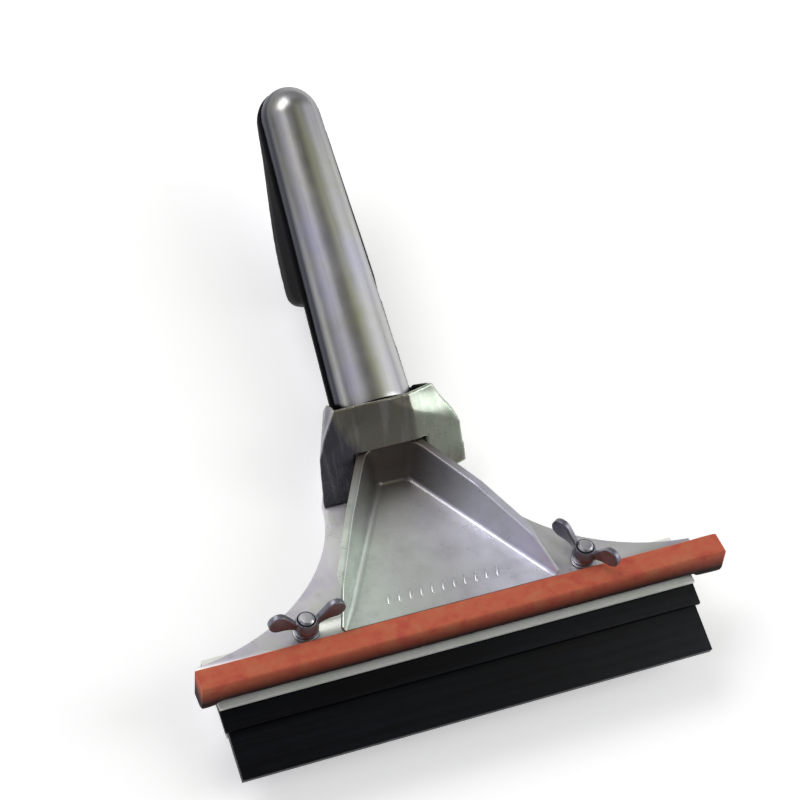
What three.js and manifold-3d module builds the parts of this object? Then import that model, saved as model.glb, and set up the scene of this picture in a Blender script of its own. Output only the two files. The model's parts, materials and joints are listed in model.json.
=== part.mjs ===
// Hand squeegee with a clamped wiping blade, a red scrubbing bar and a cranked pressed-steel head.
//
// Everything is modelled in the head's own frame, in millimetres: X runs along the bar, +Y back
// towards the handle, +Z up, and the origin lies on the upper rear edge of the red bar.
// The handle has a group of its own, tilted up from the head. At the end the whole squeegee is
// laid down on its clamp bolts and finger swell, with the origin under the middle of it.

import * as THREE from 'three';
import { mergeVertices } from 'three/addons/utils/BufferGeometryUtils.js';
import { ConvexGeometry } from 'three/addons/geometries/ConvexGeometry.js';
import Module from 'manifold-3d';

const wasm = await Module();
wasm.setup();

// ---------------------------------------------------------------- driving dimensions
const gap = 0.3; // clearance between pieces that touch
const sheet = 1.5; // pressed stainless sheet

// red scrubbing bar
const barLength = 210;
const barShift = 4.5; // it sits a little off centre, towards +X
const barDepth = 9.6; // exposed part, in front of the base plate
const barTop = 0;
const barBottom = -12.6; // where the shelf strip squeezes it
const barEndBottom = -14; // at its free ends
const barNoseRadius = 5.5;
const tongueReach = 11.4; // clamped part, under the base plate
const tongueHalf = 63;

// clamped strips, all punched for the two bolts
const shelfHalf = 96;
const stripShift = 2; // the strips sit a little off centre too
const shelfFront = -10.3;
const backingHalf = 96;
const backingThick = 2;
const backingLip = 8.5;
const bladeHalf = 94.6;
const bladeThick = 3.4;
const bladeLip = 26.6;
const keeperHalf = 95;
const keeperThick = 2;
const keeperLip = 9;
const packRear = 12.5;
const packDrop = THREE.MathUtils.degToRad(20); // how steeply the blade slopes down
const bendStart = -6;
const bendInnerRadius = 2;

// base plate and pan
const panelTop = -0.8;
const panThick = 1.2;
const plateHalf = 99.5;
const neckHalf = 29.7; // half width of the plate at the hood
const neckY = 61.5;
const plateRear = 93;
const plateRearHalf = 15.5;
const panFrontHalf = 42.5;
const panApexHalf = 6.5;
const panApexY = 63;
const wallLean = 0.384; // outward lean of the side walls, per unit of height
const rearWallLean = 0.4575;
const rimWidth = 2.4;
const rimThick = 1.2;
const rimFrontZ = 1.4;
const rimNutY = 12.5; // the wall stays low up to here, under the wing nuts' sweep
const rimNutZ = 8;
const rimKneeY = 38;
const rimKneeZ = 12.6;
const rimRearZ = 14;

// hood
const hoodTopHalf = 22;
const hoodTopY = 78;
const hoodTopZ = 31;
const hoodMidHalf = 29;
const hoodMidY = 68;
const hoodMidZ = 15;
const hoodWall = 1.6;
const mouthTop = -6; // the mouth leans: over the handle it is flush with the shield's upper edge
const mouthSide = 0; // and beside the handle it reaches further back

// handle
const handleSlope = THREE.MathUtils.degToRad(30);
const handleY = 91; // where its axis leaves the hood
const handleZ = 20;
const handleStart = -5; // hidden end, inside the hood
const handleEnd = 129;
const domeLength = 13;
const widthAtHood = 15.3; // half widths of the shell
const widthAtDome = 11.9;
const shellThick = 1.2;
const gripLip = 1.3;
const gripDepth = 8.5;
const swellDepth = 19;
const swellBulge = 3.6;
const tangHalf = 8;
const tangThick = 3;
const tangStart = -25;
const tangEnd = 119;

// clamp bolts and wing nuts
const boltX = 56;
const boltY = 5.2;
const shankRadius = 3;
const clearRadius = 3.6;
const washerRadius = 4.9;
const washerThick = 0.9;
const springThick = 1.3;
const boltHeadRadius = 6.6;
const boltHeadHeight = 3.3;
const shankTop = 6.6;
const hubRadius = 4.8;
const hubHeight = 4.8;
const wingReach = 15;
const wingTop = 11.9;
const wingThick = 2.4;
const earRadius = 3.9;
const nutTurns = [0.02, -1]; // how far each wing nut happens to be turned, in radians

// rivets and screws
const rivetRadius = 2;
const rivetHeadRadius = 3.6;
const rivetHeadHeight = 1.5;
const screwRadius = 1.8;
const screwHeadRadius = 3.4;
const roundSides = 28;

// ---------------------------------------------------------------- levels worked out from them
const plateTop = panelTop - panThick - gap;
const plateBottom = plateTop - sheet;
const tongueTop = plateBottom - gap;
const shelfTop = barBottom - gap;
const shelfBottom = shelfTop - sheet;
const backingTop = shelfBottom - gap;
const backingBottom = backingTop - backingThick;
const bladeTop = backingBottom - gap;
const bladeBottom = bladeTop - bladeThick;
const keeperTop = bladeBottom - gap;
const keeperBottom = keeperTop - keeperThick;
const bendZ = keeperBottom - bendInnerRadius;
const nutBottom = plateTop + washerThick + springThick + 3 * gap;

// ---------------------------------------------------------------- materials
function finish(color, roughness, metalness) {
  return new THREE.MeshStandardMaterial({ color, roughness, metalness });
}

const polishedSteel = finish(0xb9bbbd, 0.25, 1);
const pressedSteel = finish(0xa9aaa8, 0.35, 1);
const zincSteel = finish(0x9a9c9c, 0.45, 1);
const redRubber = finish(0xb3674d, 0.85, 0);
const blackRubber = finish(0x101113, 0.55, 0);
const blackPlastic = finish(0x16161a, 0.5, 0);
const castAlloy = finish(0x8c8d8f, 0.55, 1);

// ---------------------------------------------------------------- solids
function toSolid(geometry) {
  const plain = geometry.clone();
  plain.deleteAttribute('normal');
  plain.deleteAttribute('uv');
  const merged = mergeVertices(plain, 1e-4);
  return new wasm.Manifold(new wasm.Mesh({
    numProp: 3,
    vertProperties: new Float32Array(merged.attributes.position.array),
    triVerts: new Uint32Array(merged.index.array),
  }));
}

function toGeometry(solid) {
  const mesh = solid.getMesh();
  const geometry = new THREE.BufferGeometry();
  geometry.setAttribute('position', new THREE.BufferAttribute(mesh.vertProperties, 3));
  geometry.setIndex(new THREE.BufferAttribute(mesh.triVerts, 1));
  geometry.computeVertexNormals();
  return geometry;
}

function join(...geometries) {
  return toGeometry(geometries.map(toSolid).reduce((sum, solid) => sum.add(solid)));
}

function cut(geometry, ...tools) {
  return toGeometry(tools.map(toSolid).reduce((rest, tool) => rest.subtract(tool), toSolid(geometry)));
}

function keepInside(geometry, limit) {
  return toGeometry(toSolid(geometry).intersect(toSolid(limit)));
}

// box between two corners
function block(x0, y0, z0, x1, y1, z1) {
  const geometry = new THREE.BoxGeometry(x1 - x0, y1 - y0, z1 - z0);
  return geometry.translate((x0 + x1) / 2, (y0 + y1) / 2, (z0 + z1) / 2);
}

// upright cylinder
function post(x, y, z0, z1, radius, sides = roundSides) {
  const geometry = new THREE.CylinderGeometry(radius, radius, z1 - z0, sides);
  return geometry.rotateX(Math.PI / 2).translate(x, y, (z0 + z1) / 2);
}

// solid of revolution about an upright axis, from a profile of [radius, height] pairs
function turned(x, y, profile, sides = roundSides) {
  const points = profile.map(([radius, height]) => new THREE.Vector2(radius, height));
  return new THREE.LatheGeometry(points, sides).rotateX(Math.PI / 2).translate(x, y, 0);
}

// flat plate with an outline in XY
function plate(shape, z0, z1, curveSegments = 24) {
  const geometry = new THREE.ExtrudeGeometry(shape, { depth: z1 - z0, bevelEnabled: false, curveSegments });
  return geometry.translate(0, 0, z0);
}

// bar along X with its section drawn in the YZ plane
function barAlongX(shape, x0, x1, curveSegments = 8) {
  const geometry = new THREE.ExtrudeGeometry(shape, { depth: x1 - x0, bevelEnabled: false, curveSegments });
  const axes = new THREE.Matrix4().makeBasis(
    new THREE.Vector3(0, 1, 0),
    new THREE.Vector3(0, 0, 1),
    new THREE.Vector3(1, 0, 0),
  );
  return geometry.applyMatrix4(axes).translate(x0, 0, 0);
}

// closed loft through rings of points; each ring lies across Y and runs from +X over the top to -X
function loft(rings) {
  const count = rings[0].length;
  const geometry = new THREE.BufferGeometry();
  geometry.setFromPoints(rings.flat());
  const index = [];
  for (let ring = 0; ring + 1 < rings.length; ring += 1) {
    for (let j = 0; j < count; j += 1) {
      const a = ring * count + j;
      const b = ring * count + (j + 1) % count;
      index.push(a, a + count, b, a + count, b + count, b);
    }
  }
  const last = (rings.length - 1) * count;
  const startCap = THREE.ShapeUtils.triangulateShape(rings[0].map(flatten), []);
  const endCap = THREE.ShapeUtils.triangulateShape(rings[rings.length - 1].map(flatten), []);
  startCap.forEach(([a, b, c]) => index.push(a, b, c));
  endCap.forEach(([a, b, c]) => index.push(last + a, last + c, last + b));
  geometry.setIndex(index);
  return geometry;
}

function flatten(point) {
  return new THREE.Vector2(point.x, point.z);
}

function piece(name, geometry, material) {
  const mesh = new THREE.Mesh(geometry, material);
  mesh.name = name;
  return mesh;
}

function boltHoles(z0, z1) {
  return [-1, 1].map((side) => post(side * boltX, boltY, z0 - 1, z1 + 1, clearRadius));
}

// ---------------------------------------------------------------- head: base plate, pan and hood
// Bell-shaped base plate: thin ends along the bar, swept in to the neck, then narrowed to the rear.
function basePlate() {
  const front = gap;
  const tipY = 2.4;
  const shape = new THREE.Shape();
  shape.moveTo(-plateHalf, front);
  shape.lineTo(plateHalf, front);
  shape.lineTo(plateHalf, tipY);
  shape.bezierCurveTo(62, 5.5, 33, 32, neckHalf, neckY);
  shape.lineTo(plateRearHalf, plateRear);
  shape.lineTo(-plateRearHalf, plateRear);
  shape.lineTo(-neckHalf, neckY);
  shape.bezierCurveTo(-33, 32, -62, 5.5, -plateHalf, tipY);
  shape.lineTo(-plateHalf, front);
  const hole = (radius) => ([x, y]) => post(x, y, plateBottom - 1, plateTop + 1, radius + gap);
  const rivetHoles = hoodRivetPlaces().map(hole(rivetRadius));
  const screwHoles = neckScrewPlaces().map(hole(screwRadius));
  const sheetPlate = plate(shape, plateBottom, plateTop, 20);
  return cut(sheetPlate, ...boltHoles(plateBottom, plateTop), ...rivetHoles, ...screwHoles);
}

// Truncated triangle of the pan at one height, moved outwards by grow.
function panRing(z, grow, frontY) {
  const height = z - panelTop;
  const run = new THREE.Vector2(panFrontHalf - panApexHalf, panApexY);
  const normal = new THREE.Vector2(run.y, run.x).normalize();
  const reach = normal.x * panFrontHalf + grow + wallLean * height;
  const rearY = panApexY + grow + rearWallLean * height;
  const halfAt = (y) => (reach - normal.y * y) / normal.x;
  return [[1, frontY], [1, rearY], [-1, rearY], [-1, frontY]]
    .map(([side, y]) => new THREE.Vector3(side * halfAt(y), y, z));
}

// The pan's inside as a solid, from one height to another.
function panVolume(z0, z1, grow, frontY = -6) {
  return new ConvexGeometry([...panRing(z0, grow, frontY), ...panRing(z1, grow, frontY)]);
}

// Side-on outline of everything up to the rim, raised by lift.
function underRim(lift) {
  const shape = new THREE.Shape();
  shape.moveTo(gap, -8);
  shape.lineTo(90, -8);
  shape.lineTo(90, rimRearZ + lift);
  shape.lineTo(panApexY, rimRearZ + lift);
  shape.lineTo(rimKneeY, rimKneeZ + lift);
  shape.lineTo(rimNutY, rimNutZ + lift);
  shape.lineTo(gap, rimFrontZ + lift);
  return barAlongX(shape, -80, 80);
}

// Pressed pan: flat triangular floor, side walls leaning out, and a narrow rim turned outwards.
function headPan() {
  const tall = 24;
  const floor = keepInside(
    panVolume(panelTop - panThick, panelTop, panThick),
    block(-80, gap, -20, 80, 90, 20),
  );
  const outer = panVolume(panelTop - panThick, tall, panThick);
  const inner = panVolume(panelTop, tall + 1, 0, -8);
  const walls = keepInside(cut(outer, inner), underRim(0));
  const flange = cut(
    panVolume(panelTop, tall, panThick + rimWidth),
    panVolume(panelTop - 1, tall + 1, 0, -8),
  );
  const rim = keepInside(cut(flange, underRim(-rimThick)), underRim(0));
  const nutRooms = [-1, 1].map((side) => post(side * boltX, boltY, -5, tall, wingReach + 1.2));
  const shortRim = cut(rim, block(-40, panApexY - 4, 0, 40, 90, 30), ...nutRooms);
  return join(floor, walls, shortRim);
}

function hoodRivetPlaces() {
  return [[-18.2, 70], [18.2, 70]];
}

function neckScrewPlaces() {
  return [[-8, 78], [8, 78]];
}

// Corner points of the hood: the wide shield in front, the mouth around the handle, and the foot.
function hoodCorners(inset, footZ) {
  const frontIn = inset * 1.2;
  const past = inset > 0 ? 1 : 0; // the inside runs out through the mouth
  const mouthHalf = widthAtHood + gripLip + 1.9 - inset;
  const mouth = (x, s, n) => new THREE.Vector3(x, s, n).applyMatrix4(handleFrame());
  const corners = [];
  for (const side of [-1, 1]) {
    corners.push(new THREE.Vector3(side * (neckHalf - inset), neckY - 2.5 + frontIn, footZ));
    corners.push(new THREE.Vector3(side * (hoodMidHalf - inset), hoodMidY + frontIn, hoodMidZ));
    corners.push(new THREE.Vector3(side * (hoodTopHalf - inset), hoodTopY + frontIn, hoodTopZ - inset * 0.6));
    corners.push(new THREE.Vector3(side * (plateRearHalf - inset), plateRear - 1 - inset, footZ));
    for (let step = 0; step <= 6; step += 1) {
      const angle = step * Math.PI / 12;
      const half = mouthHalf * Math.cos(angle);
      const rise = (mouthHalf - 0.6) * Math.sin(angle);
      const back = THREE.MathUtils.lerp(mouthSide, mouthTop, Math.sin(angle));
      corners.push(mouth(side * half, back + past, rise));
    }
    corners.push(mouth(side * (mouthHalf - 1), mouthSide + past, -gripDepth - 1 + inset * 0.5));
    corners.push(mouth(side * (mouthHalf - 5), mouthSide + past, -gripDepth - 2.4 + inset));
  }
  return corners;
}

// Pressed hood over the neck, with inward feet riveted to the base plate.
function socketHood() {
  const foot = plateTop + gap;
  const outer = new ConvexGeometry(hoodCorners(0, foot));
  const inner = new ConvexGeometry(hoodCorners(hoodWall, foot + sheet));
  const slot = block(-13.5, neckY - 8, foot - 1, 13.5, plateRear + 6, foot + sheet + 1);
  const panRoom = panVolume(foot - 3, rimRearZ + 0.6, panThick + rimWidth + 0.5, 20);
  const handleRoom = handleEnvelope(gap + 0.1).applyMatrix4(handleFrame());
  const rivetRooms = hoodRivetPlaces()
    .map(([x, y]) => post(x, y, foot - 1, foot + sheet + 0.5, rivetRadius + gap));
  return cut(outer, inner, slot, panRoom, handleRoom, ...rivetRooms);
}

// Rivet with a domed head below the base plate and a flat one on the hood's foot.
function hoodRivet(x, y) {
  const under = plateBottom - 0.2;
  const over = plateTop + gap + sheet + 0.2;
  return turned(x, y, [
    [0, under - rivetHeadHeight],
    [rivetHeadRadius * 0.55, under - rivetHeadHeight * 0.86],
    [rivetHeadRadius * 0.88, under - rivetHeadHeight * 0.45],
    [rivetHeadRadius, under],
    [rivetRadius, under],
    [rivetRadius, over],
    [rivetHeadRadius, over],
    [rivetHeadRadius, over + 0.8],
    [0, over + 0.8],
  ]);
}

// Wedge inside the hood that carries the tang.
function neckBlock() {
  const low = plateTop + gap;
  const seat = (s, n) => {
    const point = new THREE.Vector3(0, s, n).applyMatrix4(handleFrame());
    return [point.y, point.z];
  };
  const shape = new THREE.Shape();
  shape.moveTo(67.5, low);
  shape.lineTo(90, low);
  shape.lineTo(...seat(handleStart - 0.6, -gripDepth));
  shape.lineTo(...seat(handleStart - 0.6, -tangThick - gap));
  shape.lineTo(...seat(tangStart - 2, -tangThick - gap));
  const body = barAlongX(shape, -11.5, 11.5);
  const screwRooms = neckScrewPlaces().map(([x, y]) => post(x, y, low - 1, low + 7, screwRadius + gap));
  const tangRooms = tangScrewPlaces().map((s) => post(0, s, -tangThick - 7.5, 1, screwRadius + gap)
    .applyMatrix4(handleFrame()));
  return cut(body, ...screwRooms, ...tangRooms);
}

// Pan-head screw driven up through the base plate into the neck block.
function neckScrew(x, y) {
  const under = plateBottom - 0.2;
  return turned(x, y, [
    [0, under - 1.9],
    [screwHeadRadius * 0.7, under - 1.9],
    [screwHeadRadius, under - 1.2],
    [screwHeadRadius, under],
    [screwRadius, under],
    [screwRadius, plateTop + 6.2],
    [0, plateTop + 7],
  ]);
}

// ---------------------------------------------------------------- bar, shelf, blade and keeper
// Scrubbing bar: a nose in front of the base plate and a tongue clamped under it.
function redBar() {
  const section = (bottom) => {
    const shape = new THREE.Shape();
    shape.moveTo(0, barTop);
    shape.lineTo(-barDepth + 1, barTop);
    shape.quadraticCurveTo(-barDepth, barTop, -barDepth, barTop - 1);
    shape.lineTo(-barDepth, bottom + barNoseRadius);
    shape.quadraticCurveTo(-barDepth, bottom, -barDepth + barNoseRadius, bottom);
    shape.lineTo(0, bottom);
    return shape;
  };
  const left = barShift - barLength / 2;
  const right = barShift + barLength / 2;
  const endGap = 0.8;
  const middle = barAlongX(section(barBottom), left, right);
  const leftEnd = barAlongX(section(barEndBottom), left, stripShift - shelfHalf - endGap);
  const rightEnd = barAlongX(section(barEndBottom), stripShift + shelfHalf + endGap, right);
  const tongue = block(-tongueHalf, -1, barBottom, tongueHalf, tongueReach, tongueTop);
  return cut(join(middle, leftEnd, rightEnd, tongue), ...boltHoles(barBottom, tongueTop));
}

// Flat steel strip under the bar; its front edge shows as a bright line.
function shelfStrip() {
  return cut(block(
    stripShift - shelfHalf,
    shelfFront,
    shelfBottom,
    stripShift + shelfHalf,
    packRear,
    shelfTop,
  ), ...boltHoles(shelfBottom, shelfTop));
}

// Section of a strip that lies flat under the bolts and then slopes down in front.
function bentSection(top, bottom, lip) {
  const outer = top - bendZ;
  const inner = bottom - bendZ;
  const along = new THREE.Vector2(-Math.cos(packDrop), -Math.sin(packDrop));
  const outward = new THREE.Vector2(-Math.sin(packDrop), Math.cos(packDrop));
  const centre = new THREE.Vector2(bendStart, bendZ);
  const tipTop = centre.clone().addScaledVector(outward, outer).addScaledVector(along, lip);
  const tipBottom = centre.clone().addScaledVector(outward, inner).addScaledVector(along, lip);
  const shape = new THREE.Shape();
  shape.moveTo(packRear, bottom);
  shape.lineTo(packRear, top);
  shape.lineTo(bendStart, top);
  shape.absarc(bendStart, bendZ, outer, Math.PI / 2, Math.PI / 2 + packDrop, false);
  shape.lineTo(tipTop.x, tipTop.y);
  shape.lineTo(tipBottom.x, tipBottom.y);
  shape.absarc(bendStart, bendZ, inner, Math.PI / 2 + packDrop, Math.PI / 2, true);
  return shape;
}

function bentStrip(top, bottom, lip, half) {
  const strip = barAlongX(bentSection(top, bottom, lip), stripShift - half, stripShift + half);
  return cut(strip, ...boltHoles(bottom, top));
}

// Keeper: the lower clamp plate, with square holes for the bolt necks.
function keeperPlate() {
  const squareHalf = shankRadius + 0.5;
  const holes = [-1, 1].map((side) => block(
    side * boltX - squareHalf,
    boltY - squareHalf,
    keeperBottom - 1,
    side * boltX + squareHalf,
    boltY + squareHalf,
    keeperTop + 1,
  ));
  const section = bentSection(keeperTop, keeperBottom, keeperLip);
  return cut(barAlongX(section, stripShift - keeperHalf, stripShift + keeperHalf), ...holes);
}

// ---------------------------------------------------------------- bolts, washers and wing nuts
// Carriage bolt: domed head under the keeper, square neck in it, plain shank up through the stack.
function clampBolt(x) {
  const headTop = keeperBottom - 0.2;
  const stem = turned(x, boltY, [
    [0, headTop - boltHeadHeight],
    [boltHeadRadius * 0.45, headTop - boltHeadHeight],
    [boltHeadRadius * 0.75, headTop - boltHeadHeight * 0.72],
    [boltHeadRadius * 0.94, headTop - boltHeadHeight * 0.35],
    [boltHeadRadius, headTop],
    [shankRadius, headTop],
    [shankRadius, shankTop - 0.7],
    [shankRadius - 0.7, shankTop],
    [0, shankTop],
  ]);
  const neck = block(
    x - shankRadius,
    boltY - shankRadius,
    headTop - 0.5,
    x + shankRadius,
    boltY + shankRadius,
    keeperTop - gap,
  );
  return join(stem, neck);
}

function flatWasher(x) {
  const low = plateTop + gap;
  return cut(
    post(x, boltY, low, low + washerThick, washerRadius),
    post(x, boltY, low - 1, low + washerThick + 1, clearRadius),
  );
}

// Split spring washer, its slot cut at a slant.
function springWasher(x) {
  const low = plateTop + 2 * gap + washerThick;
  const slot = new THREE.BoxGeometry(washerRadius * 2, 0.9, springThick * 4);
  slot.rotateX(0.5).translate(x + washerRadius, boltY, low + springThick / 2);
  return cut(
    post(x, boltY, low, low + springThick, washerRadius - 0.4),
    post(x, boltY, low - 1, low + springThick + 1, clearRadius - 0.1),
    slot,
  );
}

// One wing, drawn side-on: it leaves the hub and sweeps up to a rounded ear.
function wing() {
  const ear = new THREE.Vector2(wingReach - earRadius, wingTop - nutBottom - earRadius);
  const shape = new THREE.Shape();
  shape.moveTo(shankRadius + 1.2, 1.2);
  shape.lineTo(hubRadius - 0.2, 1.2);
  shape.quadraticCurveTo(hubRadius + 1.2, 3.2, ear.x + earRadius * 0.2, ear.y - earRadius * 0.98);
  shape.absarc(ear.x, ear.y, earRadius, -1.37, 2.36, false);
  shape.quadraticCurveTo(hubRadius + 0.6, hubHeight + 1.6, shankRadius + 1.2, hubHeight - 0.4);
  const geometry = new THREE.ExtrudeGeometry(shape, {
    depth: wingThick,
    bevelEnabled: false,
    curveSegments: 10,
  });
  return geometry.translate(0, 0, -wingThick / 2).rotateX(Math.PI / 2);
}

// Wing nut about its own upright axis, standing on z = 0.
function wingNut() {
  const hub = turned(0, 0, [
    [0, 0],
    [hubRadius, 0],
    [hubRadius, 1.4],
    [hubRadius - 1, hubHeight],
    [0, hubHeight],
  ]);
  const bore = post(0, 0, -1, hubHeight + 1, shankRadius + 0.45);
  return cut(join(hub, wing(), wing().rotateZ(Math.PI)), bore);
}

// ---------------------------------------------------------------- handle
// The handle's frame: its own Y runs along the handle and its own Z rises square to it.
function handleFrame() {
  const turn = new THREE.Matrix4().makeRotationX(handleSlope);
  return new THREE.Matrix4().makeTranslation(0, handleY, handleZ).multiply(turn);
}

// Half width of the shell along the handle, closing over the domed end.
function halfWidth(s, inset) {
  const domeStart = handleEnd - domeLength;
  const straight = widthAtHood + (widthAtDome - widthAtHood) * Math.min(s, domeStart) / domeStart - inset;
  const along = Math.max(0, s - domeStart) / (domeLength - inset);
  return straight * Math.sqrt(Math.max(0, 1 - along * along));
}

// Places along the handle where a section is taken, closer together at the domed end.
function stations(inset, extra = []) {
  const list = [handleStart, 12, 30, 48, 66, 84, 102];
  const domeStart = handleEnd - domeLength;
  for (let step = 0; step <= 8; step += 1) {
    list.push(domeStart + (domeLength - inset) * Math.sin(step * 0.178));
  }
  return [...list, ...extra].sort((a, b) => a - b);
}

// Half-round body of the handle: flat below at height low, inset from the outside.
function halfRound(inset, low) {
  const arcSteps = 22;
  const rings = stations(inset).map((s) => {
    const half = halfWidth(s, inset);
    const ring = [];
    for (let step = 0; step <= arcSteps; step += 1) {
      const angle = step * Math.PI / arcSteps;
      ring.push(new THREE.Vector3(half * Math.cos(angle), s, half * Math.sin(angle) + Math.max(low, 0)));
    }
    if (low < 0) {
      ring.push(new THREE.Vector3(-half, s, low));
      ring.push(new THREE.Vector3(half, s, low));
    }
    return ring;
  });
  return loft(rings);
}

function handleShell() {
  const hollow = halfRound(shellThick, -1);
  const openEnd = halfRound(shellThick, -1).translate(0, -3, 0);
  return cut(halfRound(0, 0), hollow, openEnd);
}

// Moulded spine that fills the shell.
function handleCore() {
  const rooms = gripScrewPlaces().map((s) => post(0, s, -1, 6.5, screwRadius + gap));
  const body = halfRound(shellThick + gap, 0).translate(0, 0, gap);
  return cut(keepInside(body, block(-30, -20, gap, 30, 140, 30)), ...rooms);
}

// Extra depth of the finger swell, at a distance from the free end.
function swell(fromEnd) {
  const rise = THREE.MathUtils.smoothstep(fromEnd, 2, 72);
  const past = Math.max(0, fromEnd - 79) / 7.5;
  return rise * Math.sqrt(Math.max(0, 1 - past * past));
}

// Section of the grip: flat against the shell, squarish below.
function gripRing(s, grow) {
  const half = halfWidth(s, 0) + (gripLip + grow) * Math.sqrt(halfWidth(s, 0) / widthAtHood);
  const lift = swell(handleEnd - s);
  const endShape = halfWidth(s, 0) / (widthAtHood + (widthAtDome - widthAtHood) * s / handleEnd);
  const depth = (gripDepth + grow) * Math.min(1, endShape * 1.05) + swellDepth * lift;
  const ring = [];
  const arcSteps = 20;
  for (let step = 0; step <= arcSteps; step += 1) {
    const angle = Math.PI + step * Math.PI / arcSteps;
    const across = Math.sign(Math.cos(angle)) * Math.abs(Math.cos(angle)) ** 0.55;
    const down = Math.abs(Math.sin(angle)) ** 0.72;
    const bulge = swellBulge * lift * Math.sin(Math.PI * down);
    ring.push(new THREE.Vector3(across * (half + bulge), s, -gap - depth * down));
  }
  return ring;
}

function gripBody(grow) {
  const fromEnd = [88, 86.4, 85.6, 84, 82, 79, 72, 55, 38, 26];
  const extra = fromEnd.map((distance) => handleEnd - distance);
  return loft(stations(0, [...extra, 22]).map((s) => gripRing(s, grow)));
}

function gripScrewPlaces() {
  return [18, 113];
}

// Black underside with a channel for the tang and two screw pockets.
function handleGrip() {
  const channelHalf = tangHalf + gap;
  const channel = block(-channelHalf, handleStart - 1, -gap - tangThick - 0.1, channelHalf, tangEnd + 1, 1);
  const tools = [channel];
  for (const s of gripScrewPlaces()) {
    tools.push(post(0, s, -40, 0, screwRadius + gap));
    tools.push(post(0, s, -40, -gripDepth + 1.8, screwHeadRadius + gap));
  }
  return cut(gripBody(0), ...tools);
}

function gripScrew(s) {
  const seat = -gripDepth + 1.6;
  return turned(0, s, [
    [0, seat - 1.6],
    [screwHeadRadius * 0.8, seat - 1.6],
    [screwHeadRadius, seat - 1],
    [screwHeadRadius, seat],
    [screwRadius, seat],
    [screwRadius, 5],
    [0, 6],
  ]);
}

function tangScrewPlaces() {
  return [-19.5, -10.5];
}

// Flat steel tang between shell and grip.
function tang() {
  const places = [...tangScrewPlaces(), ...gripScrewPlaces()];
  const holes = places.map((s) => post(0, s, -tangThick - 1, 1, screwRadius + gap));
  return cut(block(-tangHalf, tangStart, -tangThick, tangHalf, tangEnd, 0), ...holes);
}

function tangScrew(s) {
  const seat = 0.2;
  return turned(0, s, [
    [0, -tangThick - 6.5],
    [screwRadius, -tangThick - 5.6],
    [screwRadius, seat],
    [screwHeadRadius, seat],
    [screwHeadRadius, seat + 1],
    [screwHeadRadius * 0.7, seat + 1.9],
    [0, seat + 1.9],
  ]);
}

// Shell and grip together, grown a little: the room they need in the hood.
function handleEnvelope(grow) {
  const upper = halfRound(-grow, -gap - 0.2);
  return join(upper, gripBody(grow));
}

// ---------------------------------------------------------------- assembly
const squeegee = new THREE.Group();

const head = new THREE.Group();
head.add(piece('base_plate', basePlate(), pressedSteel));
head.add(piece('head_pan', headPan(), pressedSteel));
head.add(piece('socket_hood', socketHood(), pressedSteel));
head.add(piece('neck_block', neckBlock(), castAlloy));
head.add(piece('red_bar', redBar(), redRubber));
head.add(piece('shelf_strip', shelfStrip(), polishedSteel));
head.add(piece('blade_backing', bentStrip(backingTop, backingBottom, backingLip, backingHalf), blackRubber));
head.add(piece('wiper_blade', bentStrip(bladeTop, bladeBottom, bladeLip, bladeHalf), blackRubber));
head.add(piece('keeper_plate', keeperPlate(), pressedSteel));
[['left', -1], ['right', 1]].forEach(([side, sign], index) => {
  head.add(piece(`clamp_bolt_${side}`, clampBolt(sign * boltX), zincSteel));
  head.add(piece(`flat_washer_${side}`, flatWasher(sign * boltX), zincSteel));
  head.add(piece(`spring_washer_${side}`, springWasher(sign * boltX), zincSteel));
  const nut = piece(`wing_nut_${side}`, wingNut(), zincSteel);
  nut.position.set(sign * boltX, boltY, nutBottom);
  nut.rotation.z = nutTurns[index];
  head.add(nut);
  head.add(piece(`hood_rivet_${side}`, hoodRivet(...hoodRivetPlaces()[index]), zincSteel));
  head.add(piece(`neck_screw_${side}`, neckScrew(...neckScrewPlaces()[index]), zincSteel));
});

const handle = new THREE.Group();
handle.position.set(0, handleY, handleZ);
handle.rotation.x = handleSlope;
handle.add(piece('handle_shell', handleShell(), polishedSteel));
handle.add(piece('handle_core', handleCore(), blackPlastic));
handle.add(piece('handle_grip', handleGrip(), blackPlastic));
handle.add(piece('tang', tang(), zincSteel));
['front', 'rear'].forEach((place, index) => {
  handle.add(piece(`grip_screw_${place}`, gripScrew(gripScrewPlaces()[index]), zincSteel));
  handle.add(piece(`tang_screw_${place}`, tangScrew(tangScrewPlaces()[index]), zincSteel));
});
head.add(handle);
squeegee.add(head);

// Lowest point of one piece when the head is tipped back by an angle.
function lowest(name, angle) {
  head.rotation.x = -angle;
  squeegee.updateMatrixWorld(true);
  return new THREE.Box3().setFromObject(squeegee.getObjectByName(name), true).min.z;
}

// Angle at which the bolt heads and the finger swell stand on one level.
function restAngle() {
  let low = 0;
  let high = 0.8;
  for (let step = 0; step < 40; step += 1) {
    const middle = (low + high) / 2;
    if (lowest('handle_grip', middle) > lowest('clamp_bolt_left', middle)) {
      low = middle;
    } else {
      high = middle;
    }
  }
  return (low + high) / 2;
}

head.rotation.x = -restAngle();
const bounds = new THREE.Box3().setFromObject(squeegee, true);
const centre = bounds.getCenter(new THREE.Vector3());
head.position.set(-centre.x, -centre.y, -bounds.min.z);

export default squeegee;
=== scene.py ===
"""Hand squeegee: looks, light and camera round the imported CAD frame.

Meshes are drawn in millimetres, either in the head's own frame (X along the bar, +Y back to the
handle, +Z up from the base plate, origin on the bar's upper rear edge) or in the handle's frame
(Y along the handle), and are then carried into the shared frame in metres.
"""

import json
import math

import bmesh
import bpy
from mathutils import Euler, Matrix, Vector, noise


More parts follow.
